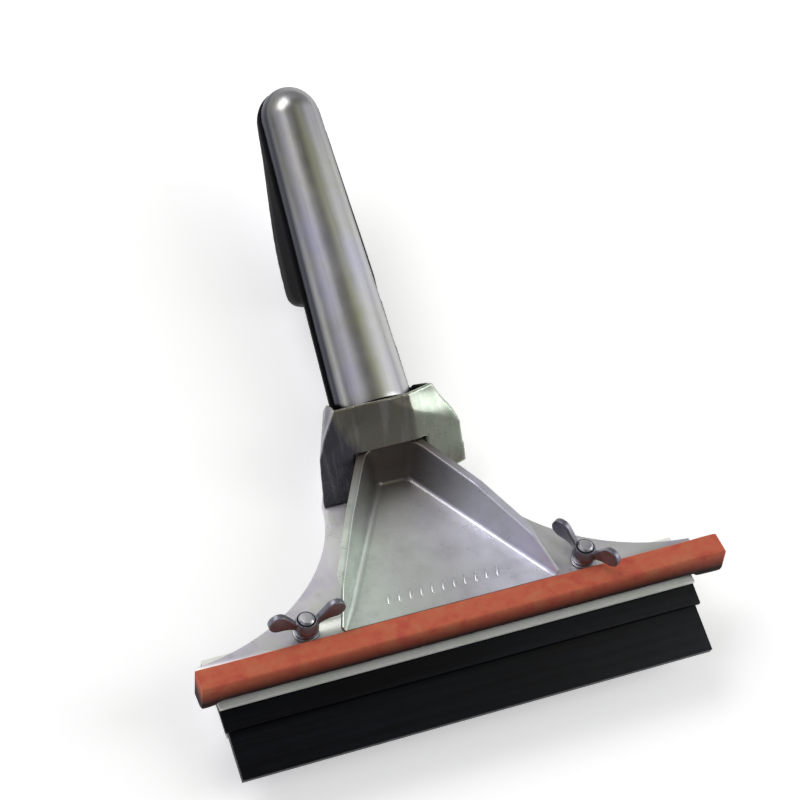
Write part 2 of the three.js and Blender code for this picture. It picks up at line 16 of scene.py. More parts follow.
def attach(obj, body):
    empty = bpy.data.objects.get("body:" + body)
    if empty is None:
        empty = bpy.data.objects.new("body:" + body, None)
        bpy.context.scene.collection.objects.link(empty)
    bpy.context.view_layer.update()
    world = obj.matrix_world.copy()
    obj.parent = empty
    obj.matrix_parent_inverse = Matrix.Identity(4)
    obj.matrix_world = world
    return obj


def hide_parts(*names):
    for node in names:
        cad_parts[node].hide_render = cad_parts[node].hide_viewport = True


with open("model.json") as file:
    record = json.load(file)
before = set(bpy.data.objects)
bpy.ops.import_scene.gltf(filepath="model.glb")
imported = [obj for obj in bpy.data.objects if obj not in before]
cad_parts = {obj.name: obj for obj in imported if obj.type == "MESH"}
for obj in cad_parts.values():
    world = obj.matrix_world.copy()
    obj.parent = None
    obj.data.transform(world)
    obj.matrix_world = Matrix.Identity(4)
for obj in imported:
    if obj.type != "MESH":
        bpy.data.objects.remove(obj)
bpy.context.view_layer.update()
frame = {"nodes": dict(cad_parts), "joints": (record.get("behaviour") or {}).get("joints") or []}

MM = 0.001

# ---------------------------------------------------------------- frames of the head and the handle
bolt_x = 56.0  # the left bolt's place, and the underside of its wing nut
bolt_y = 5.2
nut_bottom = 0.8
handle_y = 91.0  # where the handle's middle line starts
handle_z = 20.0
handle_slope = math.radians(30)
width_at_hood = 15.3  # half of the handle's width at the hood
fold_x = 11.0  # the middle facet of the hood's front ends here on the right

# The head's frame hangs on the left wing nut's joint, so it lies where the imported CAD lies.
joints = {joint["name"]: joint for joint in frame["joints"]}
nut_joint = joints["nut_left_turn"]
across = Vector((1, 0, 0))
up = Vector(nut_joint["axis"]).normalized()
back = up.cross(across)
head_turn = Matrix((across, back, up)).transposed()
head_origin = Vector(nut_joint["pos_m"]) - MM * (back * bolt_y + up * nut_bottom - across * bolt_x)
HEAD = Matrix.Translation(head_origin) @ head_turn.to_4x4() @ Matrix.Scale(MM, 4)
HANDLE = HEAD @ Matrix.Translation((0, handle_y, handle_z)) @ Matrix.Rotation(handle_slope, 4, "X")
handle_pitch = handle_slope - math.atan2(-back.z, back.y)  # slope above the floor

# ---------------------------------------------------------------- camera
camera_place = Vector((-255.3, -483.2, 691.1))  # in the head's frame
camera_turn = Euler((math.radians(42.92), math.radians(-3.79), math.radians(-20.98)))
lens = 106.1

camera_data = bpy.data.cameras.new("camera")
camera_data.lens = lens
camera_data.sensor_width = 36
camera_data.clip_start = 0.01
camera_data.clip_end = 20
camera = bpy.data.objects.new("camera", camera_data)
bpy.context.scene.collection.objects.link(camera)
camera.location = HEAD @ camera_place
camera.rotation_euler = (head_turn @ camera_turn.to_matrix()).to_euler()
bpy.context.scene.camera = camera


# ---------------------------------------------------------------- mesh helpers
weld_distance = 1e-4  # points closer than this, in millimetres, become one


def link(name, mesh):
    """New object with the mesh, in the scene."""
    piece = bpy.data.objects.new(name, mesh)
    bpy.context.scene.collection.objects.link(piece)
    return piece


def shade(piece, sharp_angle=35):
    """Smooth shading, with edges sharper than the angle kept crisp."""
    mesh = piece.data
    for polygon in mesh.polygons:
        polygon.use_smooth = True
    mesh.set_sharp_from_angle(angle=math.radians(sharp_angle))


def bake_modifiers(piece):
    """Replaces the piece's mesh by what its modifiers make of it."""
    bpy.context.view_layer.update()
    evaluated = piece.evaluated_get(bpy.context.evaluated_depsgraph_get())
    piece.data = bpy.data.meshes.new_from_object(evaluated)
    piece.modifiers.clear()


def from_points(name, points, faces, matrix):
    """New object from points in one of the drawing frames, welded, its faces turned outwards."""
    mesh = bpy.data.meshes.new(name)
    mesh.from_pydata(points, [], faces)
    bm = bmesh.new()
    bm.from_mesh(mesh)
    bmesh.ops.remove_doubles(bm, verts=bm.verts, dist=weld_distance)
    bmesh.ops.recalc_face_normals(bm, faces=bm.faces)
    bm.to_mesh(mesh)
    bm.free()
    mesh.transform(matrix)
    return link(name, mesh)


def copy_of(name, node):
    """New object with the CAD node's mesh, its flat faces merged back into single polygons."""
    flat_angle = math.radians(0.5)
    mesh = frame["nodes"][node].data.copy()
    mesh.materials.clear()
    bm = bmesh.new()
    bm.from_mesh(mesh)
    bmesh.ops.remove_doubles(bm, verts=bm.verts, dist=weld_distance * MM)
    bmesh.ops.dissolve_limit(bm, angle_limit=flat_angle, verts=bm.verts, edges=bm.edges)
    bm.to_mesh(mesh)
    bm.free()
    return link(name, mesh)


def settle(piece, body, node, material):
    """Gives the piece its material and its body, and hides the CAD node that it stands for."""
    piece.data.materials.clear()
    piece.data.materials.append(material)
    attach(piece, body)
    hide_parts(node)
    return piece


def round_edges(piece, width, from_angle):
    """Rounds the piece's edges that are sharper than the angle."""
    bevel = piece.modifiers.new("bevel", "BEVEL")
    bevel.width = width * MM
    bevel.segments = 3
    bevel.limit_method = "ANGLE"
    bevel.angle_limit = math.radians(from_angle)
    bake_modifiers(piece)


def bevelled(name, node, body, material, width):
    """The CAD node with its sharp edges rounded off."""
    piece = copy_of(name, node)
    round_edges(piece, width, from_angle=32)
    shade(piece)
    return settle(piece, body, node, material)


def softened(name, node, body, material, voxel, smoothing, shape=None):
    """The CAD node remeshed finely and smoothed, so that its edges run into each other as in a
    pressing or a casting. shape moves each point, given in the head's frame in millimetres."""
    piece = copy_of(name, node)
    remesh = piece.modifiers.new("remesh", "REMESH")
    remesh.mode = "VOXEL"
    remesh.voxel_size = voxel * MM
    smooth = piece.modifiers.new("smooth", "SMOOTH")
    smooth.factor = 0.5
    smooth.iterations = smoothing
    bake_modifiers(piece)
    if shape:
        to_head = HEAD.inverted()
        for vertex in piece.data.vertices:
            vertex.co = HEAD @ shape(to_head @ vertex.co)
    shade(piece, sharp_angle=80)
    return settle(piece, body, node, material)


def lerp(a, b, t):
    return a + (b - a) * t


def smoothstep(x, low, high):
    """0 below low, 1 above high, and an even rise between them."""
    t = min(1, max(0, (x - low) / (high - low)))
    return t * t * (3 - 2 * t)


# ---------------------------------------------------------------- material helpers
class Nodes:
    """Node tree of one material or of the world, with a short way to add and join nodes."""

    def __init__(self, owner, coordinates="Object"):
        owner.use_nodes = True
        self.owner = owner
        self.tree = owner.node_tree
        self.place = self.tree.nodes.new("ShaderNodeTexCoord").outputs[coordinates]

    def add(self, kind, **inputs):
        """New node. An underscore in the name of an input stands for a space."""
        node = self.tree.nodes.new(kind)
        for key, value in inputs.items():
            self.feed(node.inputs[key.replace("_", " ")], value)
        return node

    def feed(self, socket, value):
        """Joins another node's output to the socket, or sets the socket's own value."""
        if isinstance(value, bpy.types.NodeSocket):
            self.tree.links.new(value, socket)
        else:
            socket.default_value = value

    def stretched(self, scale, turn=0.0):
        """Object coordinates turned about X and scaled, for grain that runs one way."""
        turned = self.add("ShaderNodeMapping", Vector=self.place, Rotation=(turn, 0, 0))
        return self.add("ShaderNodeMapping", Vector=turned.outputs[0], Scale=scale).outputs[0]

    def in_frame(self, drawing_frame):
        """X, Y and Z in the head's or the handle's frame, in millimetres."""
        place, turn, scale = drawing_frame.inverted().decompose()
        carried = self.add(
            "ShaderNodeMapping",
            Vector=self.place,
            Location=place,
            Rotation=turn.to_euler(),
            Scale=scale,
        )
        return self.add("ShaderNodeSeparateXYZ", Vector=carried.outputs[0]).outputs

    def noise(self, scale, detail=4, roughness=0.55, vector=None, distortion=0.0):
        """Noise from 0 to 1, with so many cells to a metre of the coordinates."""
        node = self.add(
            "ShaderNodeTexNoise",
            Vector=vector or self.place,
            Scale=scale,
            Detail=detail,
            Roughness=roughness,
            Distortion=distortion,
        )
        return node.outputs["Fac"]

    def ramp(self, value, stops):
        """Colour for a value from 0 to 1, from pairs of a position and a colour."""
        node = self.add("ShaderNodeValToRGB", Fac=value)
        ramp = node.color_ramp
        while len(ramp.elements) < len(stops):
            ramp.elements.new(0.5)
        for element, (position, color) in zip(ramp.elements, stops):
            element.position = position
            element.color = (*color, 1)
        return node.outputs["Color"]

    def span(self, value, low, high, from_low=0.3, from_high=0.7):
        """Goes from low to high while the value goes from from_low to from_high."""
        node = self.add("ShaderNodeMapRange", Value=value)
        node.inputs["From Min"].default_value = from_low
        node.inputs["From Max"].default_value = from_high
        node.inputs["To Min"].default_value = low
        node.inputs["To Max"].default_value = high
        return node.outputs["Result"]

    def mix(self, fac, a, b, blend="MIX"):
        """Colour a where fac is 0, and b, or its blend with a, where fac is 1."""
        node = self.tree.nodes.new("ShaderNodeMix")
        node.data_type = "RGBA"
        node.blend_type = blend
        colors = [socket for socket in node.inputs if socket.type == "RGBA"]
        self.feed(node.inputs[0], fac)
        self.feed(colors[0], a)
        self.feed(colors[1], b)
        return [socket for socket in node.outputs if socket.type == "RGBA"][0]

    def bump(self, height, distance, normal=None):
        """Relief of a depth in metres, on top of another one if its normal is given."""
        node = self.add("ShaderNodeBump", Height=height, Distance=distance)
        if normal:
            self.feed(node.inputs["Normal"], normal)
        return node.outputs["Normal"]

    def worn_edges(self, low=0.52, high=0.6):
        """1 along convex edges, 0 elsewhere."""
        pointiness = self.add("ShaderNodeNewGeometry").outputs["Pointiness"]
        return self.span(pointiness, 0, 1, low, high)

    def finish(self, color, roughness, normal=None, **uniform):
        """Feeds the shader, sets its uniform inputs and returns the material."""
        shader = self.tree.nodes["Principled BSDF"]
        self.feed(shader.inputs["Base Color"], color)
        self.feed(shader.inputs["Roughness"], roughness)
        if normal:
            self.feed(shader.inputs["Normal"], normal)
        for key, value in uniform.items():
            shader.inputs[key.replace("_", " ")].default_value = value
        return self.owner


def material_nodes(name):
    return Nodes(bpy.data.materials.new(name))


def rgb(red, green, blue):
    return (red, green, blue, 1.0)


sheet_tints = ((0.58, 0.62, 0.55), (0.66, 0.65, 0.66), (0.60, 0.58, 0.66))


def steel(
    name,
    tints,
    roughness,
    grain=None,
    grain_depth=0.0,
    dent=0.0,
    dent_scale=42,
    blotch=55.0,
    metal=1.0,
    tints_and_painted_light=None,
):
    """Sheet steel: slow tints of handling and heat, fine marks, grain and shallow dents.

    roughness is a pair, and the depths of grain and dents are in millimetres. grain is given the
    nodes and returns the coordinates of the grain. The last argument is given the nodes and the
    colour so far, and returns the colour to use, with tints and streaks and also painted shade and
    light.
    """
    tint_places = (0.32, 0.5, 0.68)
    mark_scale = 500
    mark_share = 0.06
    mark_color = rgb(0.32, 0.31, 0.3)
    patch_scale = blotch * 2.3

    nodes = material_nodes(name)
    slow = nodes.noise(blotch, 3, 0.6, distortion=0.6)
    color = nodes.ramp(slow, list(zip(tint_places, tints)))
    marks = nodes.noise(mark_scale, 3, 0.7)
    color = nodes.mix(nodes.span(marks, 0.0, mark_share), color, mark_color)
    if tints_and_painted_light:
        color = tints_and_painted_light(nodes, color)
    patchy = nodes.noise(patch_scale, 5, 0.65)
    rough = nodes.span(patchy, *roughness)
    normal = None
    if dent:
        normal = nodes.bump(nodes.noise(dent_scale, 2, 0.5), dent * MM)
    if grain:
        lines = nodes.noise(1.0, 3, 0.6, vector=grain(nodes))
        normal = nodes.bump(lines, grain_depth * MM, normal=normal)
    return nodes.finish(color, rough, normal, Metallic=metal)


def shell_streaks_and_painted_shade(nodes, color):
    """Faint lengthwise streaks on the handle's shell, painted shade, near black, along its flanks by
    the open edges, and painted olive shade that darkens it towards the domed end."""
    dome_shade_from = 50
    dome_shade_to = 125
    flank_shade_full = 5.0
    flank_shade_ends = 8.4
    place = nodes.in_frame(HANDLE)
    # Painted shade: the shell darkens to olive towards its domed end, dimming the highlight there.
    dome_end_shade = nodes.span(place["Y"], 0, 0.5, dome_shade_from, dome_shade_to)
    color = nodes.mix(dome_end_shade, color, rgb(0.22, 0.22, 0.15))
    streaks = nodes.noise(1.0, 4, 0.7, vector=nodes.stretched((420, 9, 420), -handle_pitch))
    color = nodes.mix(nodes.span(streaks, 0.0, 0.45, 0.5, 0.72), color, rgb(0.25, 0.25, 0.24))
    # Painted shade: near black along the flanks by the open edges, standing in for dark reflections
    # there.
    flank_shade = nodes.span(place["Z"], 1, 0, flank_shade_full, flank_shade_ends)
    return nodes.mix(flank_shade, color, rgb(0.04, 0.042, 0.058))


def polished_steel():
    return steel(
        "polished_steel",
        ((0.42, 0.42, 0.36), (0.49, 0.49, 0.48), (0.46, 0.46, 0.54)),
        (0.26, 0.36),
        grain=lambda nodes: nodes.stretched((2600, 30, 2600), -handle_pitch),
        grain_depth=0.02,
        blotch=26,
        tints_and_painted_light=shell_streaks_and_painted_shade,
    )


def pressed_steel():
    return steel("pressed_steel", sheet_tints, (0.24, 0.4), dent=0.14, metal=0.8)


def pan_tints_and_shade(nodes, color):
    """Greenish on the pan's left, violet on its right, and painted shade, dark brown, in its narrow
    end by the hood.
    """
    half_span = 34
    narrow_shade_from = 34
    narrow_shade_to = 66
    sides_share = 0.65
    place = nodes.in_frame(HEAD)
    sides = nodes.ramp(nodes.span(place["X"], 0, 1, -half_span, half_span), [
        (0.1, (0.70, 0.82, 0.70)),
        (0.36, (0.56, 0.59, 0.55)),
        (0.6, (0.55, 0.55, 0.60)),
        (0.85, (0.84, 0.84, 1.0)),
    ])
    color = nodes.mix(sides_share, color, sides)
    smudge = nodes.noise(70, 4, 0.65)
    color = nodes.mix(nodes.span(smudge, 0.0, 0.4, 0.46, 0.7), color, rgb(0.36, 0.37, 0.36))
    narrow_end_shade = nodes.span(place["Y"], 0, 1, narrow_shade_from, narrow_shade_to)
    # Painted shade: dark brown in the narrow end, next to the hood.
    return nodes.mix(narrow_end_shade, color, rgb(0.10, 0.085, 0.07))


def hood_painted_facets(nodes, color):
    """Painted light and shade on the hood's facets: dark violet on its left, brown in the middle,
    pale green on its right.
    """
    blend = 2
    left_fold = -1.5  # X of the left fold in the leaning frame, which is turned to lie across it
    leaning_frame = HEAD @ Matrix.Rotation(math.radians(-35), 4, "Y")
    right_place = nodes.in_frame(HEAD)["X"]
    left_place = nodes.in_frame(leaning_frame)["X"]
    right = nodes.span(right_place, 0, 1, fold_x - blend, fold_x + blend)
    left = nodes.span(left_place, 1, 0, left_fold - blend, left_fold + blend)
    # Painted light and shade, changing at the folds: pale green on the right facet, brown in the
    # middle, dark violet on the left.
    tint = nodes.mix(right, rgb(0.27, 0.26, 0.215), rgb(0.36, 0.41, 0.33))
    tint = nodes.mix(left, tint, rgb(0.135, 0.13, 0.16))
    streaks = nodes.noise(1.0, 3, 0.6, vector=nodes.stretched((260, 60, 40), 0.6))
    return nodes.mix(nodes.span(streaks, 0.0, 0.4, 0.5, 0.72), tint, color)


def pan_steel():
    return steel("pan_steel", sheet_tints, (0.24, 0.38), dent=0.16, metal=0.66, tints_and_painted_light=pan_tints_and_shade)


def hood_steel():
    return steel(
        "hood_steel",
        ((0.50, 0.50, 0.45), (0.60, 0.59, 0.57), (0.54, 0.52, 0.60)),
        (0.2, 0.34),
        dent=0.3,
        dent_scale=36,
        metal=0.78,
        tints_and_painted_light=hood_painted_facets,
    )


def strip_steel():
    # Painted light: a near-white, mostly non-metal colour keeps the strip's edge bright in the bar's
    # shadow.
    return steel(
        "strip_steel",
        ((0.80, 0.84, 0.74), (0.90, 0.92, 0.86), (0.84, 0.86, 0.81)),
        (0.45, 0.6),
        metal=0.1,
        grain=lambda nodes: nodes.stretched((40, 1800, 1800)),
        grain_depth=0.02,
    )


def zinc_steel():
    return steel(
        "zinc_steel",
        ((0.38, 0.40, 0.38), (0.48, 0.48, 0.50), (0.42, 0.42, 0.47)),
        (0.3, 0.48),
        dent=0.1,
        dent_scale=420,
        blotch=160,
    )


def nut_steel():
    return steel(
        "nut_steel",
        ((0.15, 0.155, 0.17), (0.22, 0.22, 0.26), (0.17, 0.17, 0.19)),
        (0.3, 0.5),
        dent=0.12,
        dent_scale=380,
        blotch=190,
    )


def cast_alloy():
    """Rough casting, for the wedge inside the hood."""
    nodes = material_nodes("cast_alloy")
    skin = nodes.noise(900, 6, 0.7)
    color = nodes.ramp(nodes.noise(120), [(0.35, (0.3, 0.3, 0.31)), (0.65, (0.42, 0.42, 0.43))])
    normal = nodes.bump(skin, 0.1 * MM)
    return nodes.finish(color, nodes.span(skin, 0.5, 0.7), normal, Metallic=1.0)


def red_rubber():
    """Matt rubber with slow colour changes, fine cells, pale rubbed edges, and painted shade that
    turns it near black towards its lower edge.
    """
    unshaded_above = -0.8
    fully_shaded_below = -8.5
    nodes = material_nodes("red_rubber")
    slow = nodes.noise(170, 4, 0.6, distortion=0.4)
    color = nodes.ramp(slow, [
        (0.3, (0.48, 0.075, 0.05)),
        (0.5, (0.54, 0.12, 0.062)),
        (0.7, (0.52, 0.16, 0.08)),
    ])
    cells = nodes.noise(2600, 3, 0.6)
    color = nodes.mix(nodes.span(cells, 0.0, 0.35, 0.55, 0.75), color, rgb(0.24, 0.045, 0.025))
    color = nodes.mix(nodes.span(nodes.worn_edges(), 0, 0.35, 0, 1), color, rgb(0.62, 0.24, 0.15))
    bar_bottom_shade = nodes.span(nodes.in_frame(HEAD)["Z"], 1, 0, fully_shaded_below, unshaded_above)
    # Painted shade: the bar darkens to near black towards its lower edge, above the strip.
    color = nodes.mix(bar_bottom_shade, color, rgb(0.018, 0.005, 0.0035))
    normal = nodes.bump(nodes.noise(260, 3, 0.6), 0.12 * MM)
    normal = nodes.bump(cells, 0.06 * MM, normal=normal)
    return nodes.finish(color, nodes.span(slow, 0.72, 0.88), normal, Specular_IOR_Level=0.3)


def black_rubber():
    """Smooth rubber with faint lengthwise flow lines and a little dust."""
    nodes = material_nodes("black_rubber")
    flow = nodes.noise(1.0, 4, 0.6, vector=nodes.stretched((14, 420, 420)))
    dust = nodes.noise(240, 5, 0.7)
    color = nodes.ramp(flow, [(0.35, (0.002, 0.002, 0.003)), (0.65, (0.005, 0.006, 0.009))])
    color = nodes.mix(nodes.span(dust, 0, 0.25, 0.55, 0.8), color, rgb(0.008, 0.009, 0.011))
    normal = nodes.bump(flow, 0.03 * MM)
    return nodes.finish(color, nodes.span(dust, 0.36, 0.5), normal, Specular_IOR_Level=0.12)


def black_plastic():
    """Moulded plastic with a fine spark-eroded grain, shinier in patches that hands have rubbed."""
    nodes = material_nodes("black_plastic")
    grain = nodes.add("ShaderNodeTexVoronoi", Vector=nodes.place, Scale=2200.0).outputs["Distance"]
    rubbed = nodes.noise(48, 3)
    color = nodes.ramp(rubbed, [(0.35, (0.004, 0.005, 0.004)), (0.65, (0.009, 0.008, 0.012))])
    normal = nodes.bump(grain, 0.05 * MM)
    return nodes.finish(color, nodes.span(rubbed, 0.42, 0.58), normal, Specular_IOR_Level=0.06)


POLISHED = polished_steel()
PRESSED = pressed_steel()
PAN = pan_steel()
HOOD = hood_steel()
STRIP = strip_steel()
ZINC = zinc_steel()
NUT = nut_steel()
CAST = cast_alloy()
RED = red_rubber()
RUBBER = black_rubber()
PLASTIC = black_plastic()


# ---------------------------------------------------------------- pan
pan_floor = -0.8
pan_thick = 1.2
pan_front = 0.3  # Y of its open front
pan_front_half = 42.5
pan_apex_half = 6.5
pan_apex_y = 63.0
side_lean = 0.384  # outset per height of the walls
rear_lean = 0.4575
rim_width = 2.4
rim_starts_y = 10.5
rim_full_y = 17
cut_edge_width = 0.05  # what is left of the rim in front of its start
rim_heights = ((0.3, 1.4), (12.5, 8.0), (38.0, 12.6), (63.0, 14.0))  # pairs of Y and Z
corner_radius = 4.5
floor_fillet = 2.2
left_fillet = 4.4
rim_fillet = 0.9


def rim_height(y):
    """Height of the pan's rim above the origin, at a distance back from the bar."""
    for (y0, z0), (y1, z1) in zip(rim_heights, rim_heights[1:]):
        if y <= y1:
            return lerp(z0, z1, max(0, y - y0) / (y1 - y0))
    return rim_heights[-1][1]


def pan_outline():
    """Foot of the walls from front left round the narrow end to front right, as pairs of a point
    and the outward direction there."""
    wall_steps = 40
    arc_steps = 10
    run = Vector((pan_front_half - pan_apex_half, pan_apex_y)).normalized()
    side_normal = Vector((-run.y, run.x))
    half_turn = (math.pi / 2 - math.atan2(run.x, run.y)) / 2
    setback = corner_radius * math.tan(half_turn)
    corner = Vector((-pan_apex_half, pan_apex_y))
    arc_start = corner - run * setback
    centre = arc_start - side_normal * corner_radius
    start = Vector((-pan_front_half, 0)) + run * (pan_front / run.y)
    left = []
    for step in range(wall_steps):
        left.append((start.lerp(arc_start, step / wall_steps), side_normal.copy()))
    start_angle = math.atan2(side_normal.y, side_normal.x)
    for step in range(arc_steps + 1):
        angle = lerp(start_angle, math.pi / 2, step / arc_steps)
        outward = Vector((math.cos(angle), math.sin(angle)))
        left.append((centre + outward * corner_radius, outward))
    mirror = Vector((-1, 1))
    right = [(place * mirror, outward * mirror) for place, outward in reversed(left)]
    return left + right


def wall_profile(y, outward):
    """Wall section as pairs of outset and height: fillet, leaning wall, fold and rim."""
    fillet_steps = 6
    lean_steps = 8
    fold_steps = 5
    rim_steps = 3
    largest_fillet = 0.6  # as a share of the wall's height
    least_wall = 0.05
    side_share = 1 - smoothstep(outward.y, 0.6, 1.0)
    lean = lerp(rear_lean, side_lean, side_share)
    slope = math.atan2(1, lean)
    height = rim_height(y) - pan_floor
    left_share = smoothstep(-outward.x, 0, 0.8)
    fillet = min(lerp(floor_fillet, left_fillet, left_share), height * largest_fillet)
    points = []
    for step in range(fillet_steps + 1):
        angle = slope * step / fillet_steps
        points.append((
            fillet * (math.sin(angle) - math.tan(slope / 2)),
            fillet * (1 - math.cos(angle)),
        ))
    fold_rise = rim_fillet * (1 - math.cos(slope))
    foot_out, foot_up = points[-1]
    top = max(height - fold_rise, foot_up + least_wall)
    for step in range(1, lean_steps + 1):
        t = step / lean_steps
        points.append((foot_out + lean * (top - foot_up) * t, lerp(foot_up, top, t)))
    top_out = points[-1][0]
    for step in range(1, fold_steps + 1):
        angle = slope * (1 - step / fold_steps)
        points.append((
            top_out + rim_fillet * (math.sin(slope) - math.sin(angle)),
            top + rim_fillet * (math.cos(angle) - math.cos(slope)),
        ))
    width = rim_width * smoothstep(y, rim_starts_y, rim_full_y) + cut_edge_width
    fold_out, fold_up = points[-1]
    for step in range(1, rim_steps + 1):
        points.append((fold_out + width * step / rim_steps, fold_up))
    return points


def head_pan():
    """Open triangular pan, drawn as one skin and then thickened downwards."""
    points = []
    rows = []
    for place, outward in pan_outline():
        profile = wall_profile(place.y, outward)
        rows.append(range(len(points), len(points) + len(profile)))
        for outset, height in profile:
            flat = place + outward * outset
            points.append((flat.x, max(flat.y, pan_front), pan_floor + height))
    faces = []
    for row, following in zip(rows, rows[1:]):
        for k in range(len(row) - 1):
            faces.append((row[k], following[k], following[k + 1], row[k + 1]))
    last = len(rows) - 1
    for i in range(len(rows) // 2 - 1):
        faces.append((rows[i][0], rows[last - i][0], rows[last - i - 1][0], rows[i + 1][0]))
    piece = from_points("pressed_pan", points, faces, HEAD)
    # The skin is the upper side of the sheet, so its faces have to look up.
    up_facing = sum(polygon.normal.dot(up) * polygon.area for polygon in piece.data.polygons)
    if up_facing < 0:
        piece.data.flip_normals()
    solid = piece.modifiers.new("solid", "SOLIDIFY")
    solid.thickness = pan_thick * MM
    solid.offset = -1
    solid.use_even_offset = True
    bake_modifiers(piece)
    shade(piece, sharp_angle=40)
    settle(piece, "frame", "head_pan", PAN)


def floor_ribs():
    """Row of short pressed ribs across the pan's floor, near the bar."""
    rib_count = 11
    rib_spacing = 4.4
    rib_length = 5.0
    rib_width = 1.5
    rib_rise = 0.45
    rib_slant = 0.25
    row_y = 9.0
    foot = pan_floor + 0.02
    around = 16
    rings = 5
    points = []
    faces = []
    for rib in range(rib_count):
        centre_x = (rib - (rib_count - 1) / 2) * rib_spacing
        first = len(points)
        for ring in range(rings):
            spread = math.cos(ring / rings * math.pi / 2)
            rise = math.sin(ring / rings * math.pi / 2) * rib_rise
            for step in range(around):
                angle = 2 * math.pi * step / around
                x = math.cos(angle) * spread * rib_width / 2
                y = math.sin(angle) * spread * rib_length / 2
                points.append((centre_x + x + rib_slant * y, row_y + y, foot + rise))
        points.append((centre_x, row_y, foot + rib_rise))
        for ring in range(rings - 1):
            for step in range(around):
                following = (step + 1) % around
                a = first + ring * around
                faces.append((a + step, a + following, a + around + following, a + around + step))
        top_ring = first + (rings - 1) * around
        for step in range(around):
            faces.append((top_ring + step, top_ring + (step + 1) % around, len(points) - 1))
        faces.append(tuple(first + step for step in reversed(range(around))))
    piece = from_points("floor_ribs", points, faces, HEAD)
    piece.data.materials.append(PAN)
    shade(piece, sharp_angle=60)
    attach(piece, "frame")


head_pan()
floor_ribs()

# ---------------------------------------------------------------- sheet parts of the head
front_low = (68.0, 15.0)  # Y and Z of the hood's front at its widest
front_high = (78.0, 31.0)  # and at its upper edge
front_aside = 0.16  # how far the right of the front moves aside, back and down,
front_back = 0.34  # per distance past the fold
front_down = 0.12
front_fades = (4, 24)  # depths behind the front between which the move dies out
down_sets_in = (0, 16)  # heights between which the move down sets in
mouth_gap = 1.1
mouth_y = (-16, -5)  # the hood closes in on the handle between these, in the handle's frame
mouth_z = (0, 9)


def folded_front(point):
    """The right of the hood's front falls back from its middle, and its mouth hugs the handle."""
    rise = (point.z - front_low[1]) / (front_high[1] - front_low[1])
    depth = point.y - lerp(front_low[0], front_high[0], rise)
    beyond = max(0, point.x - fold_x) * (1 - smoothstep(depth, *front_fades))
    drop = front_down * smoothstep(point.z, *down_sets_in)
    folded = point + Vector((front_aside, front_back, -drop)) * beyond
    in_handle = HANDLE.inverted() @ HEAD @ folded
    near_mouth = smoothstep(in_handle.y, *mouth_y) * smoothstep(in_handle.z, *mouth_z)
    pull = 1 - near_mouth * mouth_gap / width_at_hood
    in_handle.x *= pull
    in_handle.z *= pull
    return HEAD.inverted() @ HANDLE @ in_handle


bevelled("neck_plate", "base_plate", "frame", PRESSED, width=0.45)
softened(
    "hood",
    "socket_hood",
    "frame",
    HOOD,
    voxel=0.4,
    smoothing=14,
    shape=folded_front,
)
bevelled("keeper", "keeper_plate", "lower_jaw", PRESSED, width=0.5)
bevelled("shelf", "shelf_strip", "blade_pack", STRIP, width=0.3)
bevelled("backing", "blade_backing", "blade_pack", RUBBER, width=0.3)
bevelled("blade", "wiper_blade", "blade_pack", RUBBER, width=0.22)

# ---------------------------------------------------------------- red bar
bar_middle_x = 2.0
bulge_starts = 91  # distances from bar_middle_x
bulge_full = 103
bar_front_y = -8  # the bar's open face lies in front of this
bar_top_z = -2  # and its top above this


def worked_rubber(point):
    """Slightly uneven surface, with ends that bulge where the strips no longer squeeze them."""
    sway_size = 0.11
    sway_scale = 0.06
    sway_row = (3.1, 0.4)  # the line through the noise that the sway follows
    dimple_size = 0.1
    dimple_scale = 0.55
    front_bulge = 0.35
    top_bulge = 0.3
    beyond = smoothstep(abs(point.x - bar_middle_x), bulge_starts, bulge_full)
    lift = noise.noise(Vector((point.x * sway_scale, *sway_row))) * sway_size
    push = 0
    if point.z > bar_top_z:
        lift += top_bulge * beyond
    if point.y < bar_front_y:
        push = noise.noise(point * dimple_scale) * dimple_size + front_bulge * beyond
    return point + Vector((0, -push, lift))


bar = softened(
    "scrubbing_bar",
    "red_bar",
    "frame",
    RED,
    voxel=0.6,
    smoothing=7,
    shape=worked_rubber,
)

# ---------------------------------------------------------------- handle
handle_start = -5.0
handle_end = 129.0
dome_length = 13.0
dome_start = handle_end - dome_length
width_at_dome = 11.9
shell_thick = 1.2


def half_width(s, inset):
    """Half of the shell's width, less the inset, at a distance along the handle."""
    straight = lerp(width_at_hood, width_at_dome, min(s, dome_start) / dome_start) - inset
    along = max(0, s - dome_start) / (dome_length - inset)
    return straight * math.sqrt(max(0, 1 - along * along))


